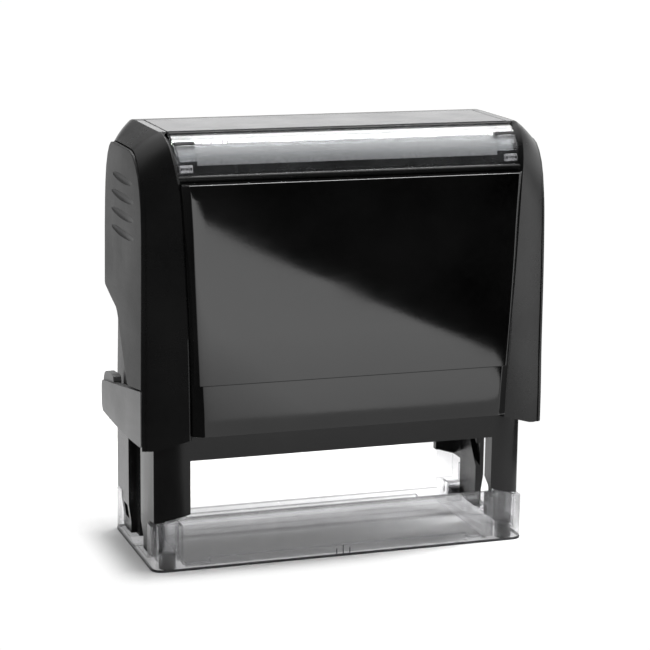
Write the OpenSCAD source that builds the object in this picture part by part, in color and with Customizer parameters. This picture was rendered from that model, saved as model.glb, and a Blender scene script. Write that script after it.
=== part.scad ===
// Self-inking stamp for a large rectangular imprint.
// A clear foot and a black frame stand on the paper. The cap, its side arms and
// the die travel down over the frame; on the way the die turns half a turn,
// from the ink pad above it to the paper below it. It is drawn at rest.
// Millimetres, +Z up, +X along the imprint, -Y is the front.
// The origin is the centre of the imprint, on the paper.

/* [Imprint] */
// Length of the printed area
imprint_l = 70; // [64:1:76]
// Depth of the printed area
imprint_w = 25; // [23:0.5:25.5]

/* [Stroke] */
// Travel of the cap from rest to full press
stroke = 28; // [27.5:0.25:28.25]
// Distance from the die axle to the printing face
die_rise = 6.8; // [6.6:0.1:6.9]
// Gap between the printing face and the ink pad at rest
pad_gap = 1.2; // [1:0.1:1.6]

/* [Foot] */
// Height of the clear front pane
pane_h = 12.3; // [9:0.1:12.6]
// Height of the clear rear rail
rear_rail_h = 3; // [2.5:0.1:5]
// Wall thickness of the clear foot
foot_wall = 1.4; // [1:0.1:1.6]
// Corner radius of the clear foot
foot_r = 3; // [2:0.1:4]

/* [Frame] */
// Wall thickness of the frame, front and rear
frame_wall = 1.6; // [1.2:0.1:1.8]
// Height of the opening over the imprint
window_z = 25.6; // [22:0.1:26]
// Width of the slot in each end wall
slot_w = 11.6; // [11.4:0.1:12]

/* [Cap] */
// Thickness of the cap's walls
cap_wall = 1.2; // [1:0.1:1.4]
// How far the front panel stands in front of the frame
panel_out = 7.2; // [6.8:0.1:8]
// Height of the label zone at the foot of the front panel
label_h = 11.8; // [9:0.1:16]
// Number of grip grooves on each side
grip_grooves = 4; // [2:1:6]
// Spacing of the grip grooves
grip_pitch = 4.1; // [3.6:0.1:4.4]

/* [Mechanism] */
// Diameter of the die axle
axle_d = 5; // [4:0.1:5.2]
// Radius from the axle to the cam pin
cam_r = 9; // [8.6:0.1:9.4]
// Diameter of the cam pin
cam_pin_d = 2.4; // [2:0.1:2.6]
// Turns in each return spring
spring_turns = 8; // [6:1:10]
// Travel of each lock button
button_travel = 0.9; // [0.5:0.1:0.9]

/* [Hidden] */
$fn = 64;

// Reach of cutters that pass right through, and overlap of joined solids
far = 200;
lap = 0.01;

// Half sizes, outwards from the middle of the imprint
half_l = imprint_l / 2;
half_w = imprint_w / 2;
win_x = half_l + 1.5;
frame_x = win_x + 7.8;
frame_y = half_w + 5.9;
end_wall = 2.8;
frame_in_x = frame_x - end_wall;
frame_in_y = frame_y - frame_wall;
foot_x = frame_x + 0.9;
foot_y = frame_y + 0.1;
leg_y = frame_y - 5.6;

// Levels
axle_z = stroke + die_rise;
pad_z = axle_z + die_rise + pad_gap;
deck_z = pad_z + 10.4;
deck_top = deck_z + 1.6;
frame_z = deck_z + 6.8;
cap_z = frame_z + stroke + 11.2;
cap_low = stroke + 1.1;

// Cap outline
side_x = frame_x + 3.9;
side_in = frame_x + 1.9;
top_x = frame_x - 2.1;
rear_y = frame_y + 2.2;
inner_y = frame_y + 0.6;
wing_y = frame_y + 5.1;

// Front panel, and the centre line of the index window's arc
panel_y = -(frame_y + panel_out);
panel_low = cap_low + 3.4;
arc_y = -12.4;
arc_z = cap_z - 9;

// Lower edge of the cap's sides, as [y, z]
notch_z = stroke + 13.3;
notch = [[-8.9, notch_z], [0.9, notch_z + 15.6], [14.2, notch_z + 18.8]];

// Arms of the bridge, and their bosses in the frame's slots
arm_x = [frame_x + 0.3, frame_x + 1.7];
boss_d = slot_w - 0.6;
slot_in = frame_x - 1.25;

// Lug of each lock button, and its clearance in the frame's pockets
lug_y = [7.6, 10.4];
lug_z = [axle_z - 1.3, axle_z + 1.5];
lug_gap = 0.3;

// ---------- helpers ----------
// A range is [lowest, highest].

function span(half) = [-half, half];

module rect(x, y) translate([x[0], y[0]]) square([x[1] - x[0], y[1] - y[0]]);

module box(x, y, z)
  translate([x[0], y[0], z[0]]) cube([x[1] - x[0], y[1] - y[0], z[1] - z[0]]);

// Extrude a [y, z] outline over a range of x
module extrude_x(x)
  translate([x[0], 0, 0]) rotate([90, 0, 90]) linear_extrude(x[1] - x[0]) children();

// Extrude an [x, z] outline over a range of y
module extrude_y(y)
  translate([0, y[1], 0]) rotate([90, 0, 0]) linear_extrude(y[1] - y[0]) children();

// Round bar along x
module rod_x(x, d, y = 0, z = axle_z)
  translate([x[0], y, z]) rotate([0, 90, 0]) cylinder(h = x[1] - x[0], d = d);

module both_x() {
  children();
  mirror([1, 0, 0]) children();
}

module both_y() {
  children();
  mirror([0, 1, 0]) children();
}

// Polygon closed by the mirror image of its right-hand points
module symmetric_polygon(points)
  polygon(concat(points, [for (i = [len(points) - 1:-1:0]) [-points[i][0], points[i][1]]]));

module rounded_rect(half_x, half_y, r) {
  rect(span(half_x - r), span(half_y));
  rect(span(half_x), span(half_y - r));
  for (sx = [-1, 1], sy = [-1, 1])
    translate([sx * (half_x - r), sy * (half_y - r)]) circle(r);
}

// ---------- foot ----------

leg_top = 13.2;
leg_slope = 0.308;
post_in_y = -leg_y - 0.1;
post_rib_h = 10.3;
guide_in_y = foot_y - 2.9;

// Area below the joint of foot and frame, which slopes down outwards
function leg_line_z(x) = leg_top - (x - win_x) * leg_slope;

module below_leg_line_2d(x, floor_z, drop = 0)
  polygon([[x[0], floor_z], [x[0], leg_line_z(x[0]) - drop],
           [x[1], leg_line_z(x[1]) - drop], [x[1], floor_z]]);

module foot_outline_2d() rounded_rect(foot_x, foot_y, foot_r);

module at_foot_pads(z = 0)
  both_x() both_y() translate([win_x + 4.7, -foot_y + 3.05, z]) children();

module corner_posts() {
  intersection() {
    linear_extrude(14) difference() {
      foot_outline_2d();
      rounded_rect(foot_x - foot_wall, foot_y - foot_wall, foot_r - foot_wall);
    }
    both_x() both_y() extrude_y([-foot_y - 1, post_in_y])
      below_leg_line_2d([win_x + 0.9, foot_x + 0.5], 0, drop = 0.15);
  }
  // inner ribs, meeting in an L
  both_x() both_y() {
    box([win_x + 1.4, win_x + 2.4], [-foot_y + 0.5, post_in_y], [0, post_rib_h]);
    box([win_x + 1.4, foot_x - 1.2], [post_in_y - 1, post_in_y], [0, post_rib_h]);
  }
}

module foot() {
  color([0.62, 0.62, 0.64, 0.4]) difference() {
    union() {
      // sole: thin along the sides, thick under the frame's end walls
      linear_extrude(1) difference() {
        foot_outline_2d();
        rect(span(win_x + 0.4), span(guide_in_y));
      }
      linear_extrude(2) difference() {
        foot_outline_2d();
        rect(span(win_x + 2.1), span(far));
      }
      // paper guides on both long sides
      both_y() box(span(win_x - 5), [-foot_y + 0.3, -guide_in_y], [0, 2.1]);
      // front pane and rear rail
      box(span(win_x + 1), [-foot_y, -foot_y + foot_wall], [0, pane_h]);
      box(span(win_x + 1), [foot_y - foot_wall, foot_y], [0, rear_rail_h]);
      corner_posts();
      at_foot_pads() cylinder(h = 5, d = 5);
    }
    // sockets of the rubber pads
    at_foot_pads(-1) cylinder(h = 5, d = 3.9);
    // relief under the guide bosses, at full press
    rod_x(span(foot_x + 1), slot_w, z = die_rise);
  }
}

module foot_pads()
  color("dimgray") at_foot_pads() cylinder(h = 3.6, d = 3.7);

// ---------- frame ----------

cam_track_depth = 1.1;
cam_track_gap = 0.45;
cam_step = 8;
cam_last = 176;

// Path of the cam pin, as [y, z]: as the die turns, the axle sinks in proportion
function cam_point(angle) =
  [cam_r * cos(angle), axle_z - stroke * angle / 180 - cam_r * sin(angle)];
function cam_heading(angle) =
  let (d = [-cam_r * sin(angle), -cam_r * cos(angle) - stroke / PI]) d / norm(d);
// Point beside the path, at a signed distance from it
function cam_side(angle, distance) =
  let (d = cam_heading(angle)) cam_point(angle) + distance * [d[1], -d[0]];

module cam_track_2d(r) {
  polygon(concat([for (angle = [0:cam_step:cam_last]) cam_side(angle, r)],
                 [for (angle = [cam_last:-cam_step:0]) cam_side(angle, -r)]));
  for (angle = [0, 180]) translate(cam_point(angle)) circle(r);
}

// Slot open at the bottom, round at the top
module slot_2d(width) {
  translate([-width / 2, -1]) square([width, axle_z + 1.2]);
  translate([0, axle_z + 0.2]) circle(width / 2);
}

module frame_body() {
  difference() {
    translate([0, 0, 2.15]) linear_extrude(frame_z - 2.15) rounded_rect(frame_x, frame_y, 2);
    // rooms below and above the deck
    for (z = [[-1, deck_z], [deck_top, frame_z + 1]])
      box(span(frame_in_x), span(frame_in_y), z);
  }
  both_x() {
    // rails that carry the ink pad
    box([win_x + 1.8, frame_in_x + 0.2], span(frame_in_y + 0.2), [pad_z + 0.2, pad_z + 1.4]);
    // posts inside the return springs
    translate([spring_x, 0, deck_z + 1]) cylinder(h = 12, d = 6.2);
    // ribs beside the slots, inside the end walls
    both_y() box([frame_in_x - 0.5, frame_in_x + 0.2], [-leg_y, -leg_y + 1.2], [4, pad_z - 6]);
  }
}

module frame() {
  color([0.1, 0.1, 0.11]) difference() {
    frame_body();
    // opening over the imprint, front and rear
    box(span(win_x), span(far), [-1, window_z]);
    // legs end on a slope above the clear corner posts
    both_x() both_y() extrude_y([-leg_y - 12, -leg_y])
      below_leg_line_2d([win_x - 0.1, frame_x + 1], -1);
    // slots of the guide bosses
    both_x() extrude_x([slot_in, slot_in + 10]) slot_2d(slot_w);
    // narrow slots of the die axle, inside them
    extrude_x(span(frame_x)) slot_2d(axle_d + 0.6);
    // cam tracks on the inner faces of the end walls
    both_x() extrude_x([frame_in_x - lap, frame_in_x + cam_track_depth])
      cam_track_2d(cam_pin_d / 2 + cam_track_gap);
    // latch pockets for the lock buttons, cap up and cap down
    both_x() for (sink = [0, stroke])
      box([frame_x - 1, frame_x + 1], lug_y + span(lug_gap),
          lug_z + span(lug_gap) - [sink, sink]);
    // mouth for the ink pad at the rear
    box(span(frame_in_x), [0, 30], [pad_z + 1.4, deck_z]);
    box(span(win_x + 1.8), [frame_in_y - 0.5, 30], [pad_z - 0.4, deck_z]);
  }
}

// ---------- cap ----------

// Plan of the cap
module cap_plan_2d(inset) {
  x = side_x - inset;
  rear = rear_y - inset;
  symmetric_polygon([
    [x - 3.4, rear], [x - 1, rear - 1], [x, rear - 3.4],
    [x, -(frame_y - 1.1)], [x - 0.7, -(frame_y + 0.4 - inset / 2)],
    [x - 3.1, -(frame_y + 1.2 - inset)], [win_x + 2, -(wing_y - inset)]]);
}

// Front silhouette
module cap_front_2d(inset) {
  x = side_x - inset;
  top = cap_z - inset;
  symmetric_polygon([[x, 0], [x, top - 5], [x - 0.6, top - 3.9], [top_x - inset * 0.6, top]]);
}

// Side silhouette with rounded front and rear shoulders
module shoulder_2d(front, rear, top, front_r, rear_r) {
  middle = (front + rear) / 2;
  rect([front, middle], [0, top - front_r]);
  rect([middle, rear], [0, top - rear_r]);
  rect([front + front_r, rear - rear_r], [0, top]);
  translate([front + front_r, top - front_r]) circle(front_r);
  translate([rear - rear_r, top - rear_r]) circle(rear_r);
}

module cap_block(inset) {
  r_inset = inset * 0.8;
  intersection() {
    linear_extrude(cap_z) cap_plan_2d(inset);
    extrude_y(span(50)) cap_front_2d(inset);
    union() {
      extrude_x(span(top_x))
        shoulder_2d(-wing_y + inset, rear_y - inset, cap_z - inset,
                    front_r = 10.2 - r_inset, rear_r = 12.4 - r_inset);
      both_x() extrude_x([top_x - lap, top_x + 10 - lap])
        shoulder_2d(-(frame_y + 1.6) + inset, rear_y - 0.6 - inset, cap_z - 1.2 - inset,
                    front_r = 9.5 - r_inset, rear_r = 12 - r_inset);
    }
  }
}

// Opening between the wings, wider at the top
module wing_gap_2d()
  symmetric_polygon([
    [win_x + 1.2, 0], [win_x + 1.35, 38.7], [win_x + 1.85, 54], [win_x + 2.6, 68.8],
    [win_x + 3.4, 84.5], [win_x + 4.3, arc_z + 0.5], [top_x - 0.9, cap_z + 2]]);

// Upper front quarter of a tube on the arc's centre line, cut short at its top
module arc_strip(half_x, radii, trim = 0)
  translate([0, arc_y, arc_z]) extrude_x(span(half_x)) intersection() {
    difference() {
      circle(radii[1]);
      circle(radii[0]);
    }
    rect([-radii[1] - 1, -trim], [0, radii[1] + 1]);
  }

module hollow_cap() {
  difference() {
    cap_block(0);
    // inside
    intersection() {
      cap_block(cap_wall);
      box(span(far), span(inner_y), [0, far]);
    }
    box(span(side_in), [-(frame_y + 0.45), inner_y], [0, cap_z - 14]);
    // front opening, up to the window bed and over it
    extrude_y([-frame_y - 40, -frame_y]) wing_gap_2d();
    extrude_y([arc_y - 20.3, arc_y + 0.1])
      symmetric_polygon([[win_x + 4.2, arc_z - 3], [top_x - 1.2, arc_z + 17]]);
  }
}

module cap_shell() {
  bed_r = [5.9, 7.3];
  lintel_y = arc_y - 5.95;
  lintel_low = arc_z - 1.7;
  color([0.09, 0.09, 0.1]) difference() {
    union() {
      hollow_cap();
      // bed of the index card, joining the wings
      arc_strip(top_x - 0.4, bed_r);
      both_x() box([win_x + 4.4, side_in + 0.4], [-frame_y - 0.5, arc_y],
                   [arc_z - 1, arc_z + 0.6]);
      box(span(top_x - 0.5), [arc_y + 0.1, arc_y + 2], [cap_z - 3.2, cap_z - 1.2]);
      // floor under the top plate's seat
      box(span(top_x - 1.2), [arc_y + 0.1, 9], [cap_z - 2.2, cap_z - 1]);
      // lintel between the window and the front panel
      box(span(win_x + 5), [-(frame_y + 3.7), lintel_y], [lintel_low, arc_z - 0.05]);
      box(span(win_x + 5), [lintel_y - 1.3, lintel_y], [lintel_low, arc_z + 0.3]);
    }
    // seat of the top plate
    box(span(top_x - 1.7), [arc_y, 8], [plate_low, cap_z + 1]);
    // lower edge of the wings, rising towards the middle
    extrude_y([-frame_y - 15, -frame_y + 15])
      symmetric_polygon([[60, -1], [60, cap_low], [side_x - 2, cap_low],
                         [win_x + 1.2, cap_low + 2.4]]);
    // lower edge of the sides and the rear
    extrude_x(span(60))
      polygon([[-frame_y + 0.4, -1], [-frame_y + 0.4, notch_z + 1.3], each notch,
               [40, notch_z + 19.4], [40, -1]]);
  }
}

// Outline of the front panel, from its half widths at the foot and the top
module panel_2d(low_x, high_x, trim = 0)
  symmetric_polygon([[low_x, panel_low + trim], [high_x, arc_z - 1.8 - trim]]);

module front_panel() {
  back_y = panel_y + 2.2;
  color([0.02, 0.02, 0.02]) difference() {
    union() {
      // face with bevelled edges, then the body behind it
      hull() {
        extrude_y([panel_y, panel_y + 0.1]) panel_2d(win_x - 0.7, win_x + 2);
        extrude_y([back_y - 0.05, back_y + 0.05]) panel_2d(win_x + 0.8, win_x + 3.1);
      }
      extrude_y([back_y, -inner_y - 0.2]) panel_2d(win_x + 0.8, win_x + 3.1);
    }
    // hollow behind the face
    extrude_y([panel_y + 1.8, -10]) panel_2d(win_x - 1.4, win_x + 1.2, trim = 1.8);
    // label zone, set back a little
    box(span(far), [panel_y - 1, panel_y + 0.4], [0, panel_low + label_h]);
  }
}

module rear_panel() {
  low = notch_z + 21;
  high = cap_z - 14.5;
  color([0.03, 0.03, 0.03]) difference() {
    extrude_y([rear_y, rear_y + 1.2]) symmetric_polygon([[win_x - 0.5, low], [win_x, high]]);
    // shallow recess in its rear face
    box(span(win_x - 4), [rear_y + 0.9, rear_y + 3], [low + 2, high - 2.5]);
  }
}

plate_low = cap_z - 1.05;

module top_plate()
  color([0.25, 0.25, 0.26]) box(span(top_x - 1.9), [arc_y + 0.3, 7.8], [plate_low, cap_z]);

grip_thick = 0.9;
grip_inset = 0.35;
groove_r = 1;
groove_l = 18;

module grip_outline_2d() {
  front = -(frame_y + 3);
  edge_gap = 0.3 + grip_inset;
  intersection() {
    shoulder_2d(-(frame_y + 1.3) + grip_inset, rear_y - 3.6 - grip_inset,
                cap_z - 4.4 - grip_inset,
                front_r = 9 - grip_inset, rear_r = 10 - grip_inset);
    // follows the lower edge of the cap's side
    polygon([[front, notch_z + 1.9 + grip_inset],
             for (p = notch) p + [-grip_inset, edge_gap],
             [40, notch_z + 19.9 + grip_inset], [40, cap_z], [front, cap_z]]);
  }
}

module side_grip() {
  difference() {
    intersection() {
      extrude_x([side_x, side_x + grip_thick]) grip_outline_2d();
      box([0, far], [-(frame_y - 1.1), far], [0, far]);
    }
    for (i = [0:grip_grooves - 1])
      translate([side_x + 1.35, 0.4 - 0.3 * i, cap_z - 12.2 - grip_pitch * i])
        rotate([90, 0, 0]) cylinder(h = groove_l, r = groove_r, center = true);
  }
}

module side_grip_right() color([0.2, 0.2, 0.21]) side_grip();
module side_grip_left() color([0.2, 0.2, 0.21]) mirror([1, 0, 0]) side_grip();

module index_window() {
  color([0.85, 0.87, 0.9, 0.35]) difference() {
    arc_strip(top_x - 2, [7.8, 8.7], trim = 0.35);
    // slot near each end
    both_x() box([win_x + 0.5, win_x + 3.2], [arc_y - 5.4, arc_y - 3.4], [arc_z + 6, arc_z + 9]);
  }
}

module index_card()
  color("whitesmoke") arc_strip(win_x + 0.2, [7.35, 7.7], trim = 0.6);

// ---------- bridge and springs ----------

spring_x = 24;
spring_top = cap_z - 3;
spring_end = 0.55; // from the wire's centre line to deck_top and to spring_top
spring_h = spring_top - deck_top - 2 * spring_end;
coil_r = 4.4;
wire_r = 0.45;
wire_sides = 6;
steps_per_turn = 16;

module bridge() {
  beam_low = frame_z + stroke + 0.5;
  beam_top = frame_z + stroke + 4;
  color([0.12, 0.12, 0.13]) difference() {
    union() {
      box(span(arm_x[1]), span(6), [beam_low, beam_top]);
      both_x() {
        translate([spring_x, 0, beam_low]) cylinder(h = cap_z - 2.2 - beam_low, d = 13.4);
        // arm, its round end and its guide boss
        box(arm_x, span(5.2), [axle_z, beam_top]);
        rod_x(arm_x, 9.2);
        rod_x([slot_in + 0.1, frame_x + 0.4], boss_d);
      }
    }
    // bearings of the die axle
    rod_x(span(arm_x[1] + 1), axle_d + 0.16);
    // cups of the return springs
    both_x() translate([spring_x, 0, 0]) cylinder(h = spring_top + 0.2, d = 11);
  }
}

// Ring of points round the wire, at a fraction t of the coil's height
function wire_ring(t) =
  let (turn = 360 * spring_turns * t,
       slope = atan2(spring_h, 2 * PI * coil_r * spring_turns),
       out = [cos(turn), sin(turn), 0],
       up = [sin(slope) * sin(turn), -sin(slope) * cos(turn), cos(slope)])
  [for (j = [0:wire_sides - 1])
    let (angle = 360 * j / wire_sides)
    coil_r * out + [0, 0, spring_h * t] + wire_r * (cos(angle) * out + sin(angle) * up)];

module return_spring(x) {
  steps = spring_turns * steps_per_turn;
  k = wire_sides;
  points = [for (i = [0:steps]) each wire_ring(i / steps)];
  // each side face is split into two triangles
  sides = [for (i = [0:steps - 1], j = [0:k - 1])
    let (a = i * k + j, b = i * k + (j + 1) % k)
    each [[a, b + k, b], [a, a + k, b + k]]];
  ends = [[for (j = [0:k - 1]) j], [for (j = [k - 1:-1:0]) steps * k + j]];
  translate([x, 0, deck_top + spring_end])
    polyhedron(points = points, faces = concat(sides, ends), convexity = 10);
}

module return_spring_left() color("silver") return_spring(-spring_x);
module return_spring_right() color("silver") return_spring(spring_x);

// ---------- die ----------

carrier_x = half_l + 0.3;
carrier_y = half_w + 0.4;
cushion_z = [axle_z + 3.4, axle_z + 5];

module die_carrier() {
  color([0.15, 0.15, 0.16]) difference() {
    union() {
      box(span(carrier_x), span(carrier_y), [axle_z - 3.6, cushion_z[0]]);
      // axle and cam pins
      rod_x(span(arm_x[1] - 0.1), axle_d);
      both_x() rod_x([carrier_x - 1, frame_in_x + 0.9], cam_pin_d, y = cam_r);
    }
    // hollow back, with webs left standing
    both_y() for (i = [-2:1])
      box([i * carrier_x / 2 + 1.2, (i + 1) * carrier_x / 2 - 1.2],
          [3.4, carrier_y - 1.4], [axle_z - 5, axle_z + 1.6]);
  }
}

module die_cushion()
  color("gainsboro") box(span(half_l + 0.1), span(half_w + 0.1), cushion_z);

module rubber_die() {
  face_z = axle_z + die_rise;
  base_z = face_z - 0.8;
  relief_z = [base_z - lap, face_z];
  margin = 4;
  rule_w = 2.4;
  rule_pitch = 4.9;
  rule_indent = 3;
  color("firebrick") {
    box(span(half_l), span(half_w), [cushion_z[1], base_z]);
    // a plain border and plain rules stand for the customer's text
    difference() {
      box(span(half_l - 0.4), span(half_w - 0.4), relief_z);
      box(span(half_l - 1.2), span(half_w - 1.2), [face_z - 2, face_z + 1]);
    }
    for (i = [0:3]) {
      y = -half_w + margin + rule_pitch * i;
      box(span(half_l - margin - rule_indent * i), [y, y + rule_w], relief_z);
    }
  }
}

// ---------- ink pad ----------

module ink_pad_tray() {
  front = -(frame_in_y - 0.4);
  rear = frame_y - 1.2;
  color([0.16, 0.16, 0.17]) difference() {
    union() {
      // tray, the flanges that ride on the rails, and the rear grip
      box(span(win_x + 1.5), [front, rear], [pad_z + 0.6, deck_z - 0.3]);
      box(span(frame_in_x - 0.3), [front, rear], [pad_z + 1.5, pad_z + 3]);
      box(span(win_x - 4), [rear - 0.1, frame_y + 0.2], [pad_z + 1.6, deck_z - 0.8]);
    }
    // seat of the felt
    box(span(half_l + 1.1), span(half_w + 1.1), [pad_z - 1, pad_z + 4]);
    // finger scoop in the grip
    rod_x(span(22), 6.8, y = frame_y + 2.2, z = (pad_z + deck_z) / 2 + 0.4);
  }
}

module ink_pad_felt()
  color([0.08, 0.08, 0.16]) box(span(half_l + 1), span(half_w + 1), [pad_z, pad_z + 3.9]);

// ---------- lock buttons ----------

button_x = [frame_x + 1.95, frame_x + 4.8];

// Side outline of a lock button, as [y, z]
module button_2d()
  polygon([[-(frame_y - 0.6), cap_low + 0.6], [15.8, cap_low + 0.6], [16.8, cap_low + 1.6],
           [17, stroke + 8.4], [16.2, stroke + 9.3],
           [notch[0][0], notch_z - 0.3], [-(frame_y - 0.6), notch_z + 0.9]]);

module lock_button() {
  arm_room_y = 5.6;
  difference() {
    union() {
      extrude_x(button_x) button_2d();
      // shelf and latch lug at the rear
      intersection() {
        extrude_x([frame_x + 1.05, frame_x + 2.25]) button_2d();
        box([0, far], [arm_room_y, leg_y - 0.3], [cap_low + 1.1, far]);
      }
      box([frame_x + 0.25, frame_x + 2], lug_y, lug_z);
    }
    // room for the arm of the bridge
    box([0, arm_x[1] + button_travel + 0.15], span(arm_room_y), [0, far]);
    // bevelled outer rear corner
    translate([button_x[1] + 1, 17.6, 0]) rotate([0, 0, 45]) cube([2.2, 2.2, 200], center = true);
  }
}

module lock_button_right() color([0.3, 0.3, 0.31]) lock_button();
module lock_button_left() color([0.3, 0.3, 0.31]) mirror([1, 0, 0]) lock_button();

foot();
foot_pads();
frame();
cap_shell();
front_panel();
rear_panel();
top_plate();
side_grip_left();
side_grip_right();
index_window();
index_card();
bridge();
return_spring_left();
return_spring_right();
die_carrier();
die_cushion();
rubber_die();
ink_pad_tray();
ink_pad_felt();
lock_button_left();
lock_button_right();
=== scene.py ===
"""Self-inking stamp: a black cap over a frame with a clear foot.

The stamp stands on z = 0 and is centred on x = 0, with its front towards -y. The cap carries
side grips, a glossy front panel and, at its upper front edge, a quarter-round clear window
over an index card. Piece sizes are in millimetres, materials and the stage in metres.
"""
import bpy
import bmesh
import math
from functools import cached_property
from mathutils import Vector, Matrix


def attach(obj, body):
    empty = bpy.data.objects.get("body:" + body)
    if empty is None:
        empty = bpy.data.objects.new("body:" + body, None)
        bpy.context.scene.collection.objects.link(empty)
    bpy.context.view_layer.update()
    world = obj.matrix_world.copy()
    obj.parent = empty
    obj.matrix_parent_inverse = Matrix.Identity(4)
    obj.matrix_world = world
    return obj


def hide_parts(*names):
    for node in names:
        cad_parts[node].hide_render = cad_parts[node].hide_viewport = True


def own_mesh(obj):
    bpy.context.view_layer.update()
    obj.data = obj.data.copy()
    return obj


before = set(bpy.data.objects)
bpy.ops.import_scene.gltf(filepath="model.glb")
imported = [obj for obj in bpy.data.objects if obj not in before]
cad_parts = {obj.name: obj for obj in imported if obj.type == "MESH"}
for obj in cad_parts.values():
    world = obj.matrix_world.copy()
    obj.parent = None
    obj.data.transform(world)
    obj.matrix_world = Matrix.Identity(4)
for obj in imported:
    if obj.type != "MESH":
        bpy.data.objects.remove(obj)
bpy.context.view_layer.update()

MM = 0.001
SIDES = ((1, "right"), (-1, "left"))


# ------------------------------------------------------------------ shader graphs


class Graph:
    """The node tree of a material or world."""

    def __init__(self, owner):
        owner.use_nodes = True
        self.owner = owner
        self.tree = owner.node_tree
        self.tree.nodes.clear()

    @cached_property
    def coords(self):
        return self.tree.nodes.new("ShaderNodeTexCoord")

    def feed(self, socket, value):
        """Link a socket into an input, or set the input to a plain value."""
        if isinstance(value, bpy.types.NodeSocket):
            self.tree.links.new(value, socket)
        elif socket.type == "RGBA":
            socket.default_value = (*value, 1)
        else:
            socket.default_value = value

    def node(self, kind, **values):
        """Values name inputs, with _ for a space, or else properties of the node."""
        made = self.tree.nodes.new(kind)
        for name, value in values.items():
            key = name.replace("_", " ")
            if key in made.inputs:
                self.feed(made.inputs[key], value)
            else:
                setattr(made, name, value)
        return made

    def math(self, operation, *values):
        made = self.node("ShaderNodeMath", operation=operation)
        for socket, value in zip(made.inputs, values):
            self.feed(socket, value)
        return made.outputs[0]

    def split(self, vector):
        made = self.node("ShaderNodeSeparateXYZ")
        self.feed(made.inputs[0], vector)
        return made.outputs

    def noise(self, scale, detail=3.0, rough=0.55, stretch=(1, 1, 1)):
        mapping = self.node("ShaderNodeMapping", Vector=self.coords.outputs["Object"],
                            Scale=stretch)
        made = self.node("ShaderNodeTexNoise", Scale=scale, Detail=detail, Roughness=rough,
                         Vector=mapping.outputs["Vector"])
        return made.outputs["Fac"]

    def remap(self, value, to_min, to_max, from_min=0.3, from_max=0.7, **settings):
        """Map a range to another; the default range is the usual spread of a noise."""
        made = self.node("ShaderNodeMapRange", Value=value, From_Min=from_min,
                         From_Max=from_max, To_Min=to_min, To_Max=to_max, **settings)
        return made.outputs["Result"]

    def mix_rgb(self, factor, first, second):
        made = self.node("ShaderNodeMix", data_type="RGBA")
        for index, value in ((0, factor), (6, first), (7, second)):
            self.feed(made.inputs[index], value)
        return made.outputs[2]

    def mix_shader(self, factor, first, second):
        made = self.node("ShaderNodeMixShader")
        for socket, value in zip(made.inputs, (factor, first, second)):
            self.feed(socket, value)
        return made.outputs[0]

    def bump(self, height, strength, distance, normal=None):
        made = self.node("ShaderNodeBump", Strength=strength, Distance=distance, Height=height)
        if normal is not None:
            self.feed(made.inputs["Normal"], normal)
        return made.outputs["Normal"]

    def finish(self, shader, output="ShaderNodeOutputMaterial"):
        self.node(output, Surface=shader)
        return self.owner


def material_graph(name):
    return Graph(bpy.data.materials.new(name))


def grey(value):
    """A grey with a trace of blue."""
    return (value, value, value * 1.01)


def times(colour, factor):
    return tuple(c * factor for c in colour)


# ------------------------------------------------------------------ materials


def plastic(name, colour, rough, spread=0.05, grain=0.35, grain_scale=2600, ripple=0.0,
            wear=0.25, spec=0.5):
    """Moulded plastic; spread varies the roughness and wear weights its streaks."""
    g = material_graph(name)
    # faint mottling and a little rubbed lightness
    lighter = tuple(min(1, c * 1.35 + 0.004) for c in colour)
    cloud = g.noise(scale=45, detail=4)
    fine = g.noise(scale=900, detail=2)
    base = g.mix_rgb(g.remap(cloud, 0, 1), times(colour, 0.85), lighter)
    base = g.mix_rgb(g.remap(fine, 0, 0.35), base, lighter)
    # slightly polished patches and streaks
    patch = g.noise(scale=70)
    streak = g.noise(scale=160, rough=0.6, stretch=(1, 1, 6))
    roughness = g.math("MULTIPLY_ADD", g.remap(streak, -1, 1), spread * wear,
                       g.remap(patch, rough - spread, rough + spread))
    # moulded grain, over a slow ripple where there is one
    normal = g.bump(g.noise(scale=grain_scale, detail=2, rough=0.6), grain, distance=0.00006)
    if ripple:
        normal = g.bump(g.noise(scale=38, detail=1, rough=0.4), ripple, distance=0.0008,
                        normal=normal)
    shader = g.node("ShaderNodeBsdfPrincipled", Base_Color=base, Roughness=roughness,
                    Normal=normal, Specular_IOR_Level=spec)
    return g.finish(shader.outputs[0])


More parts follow.
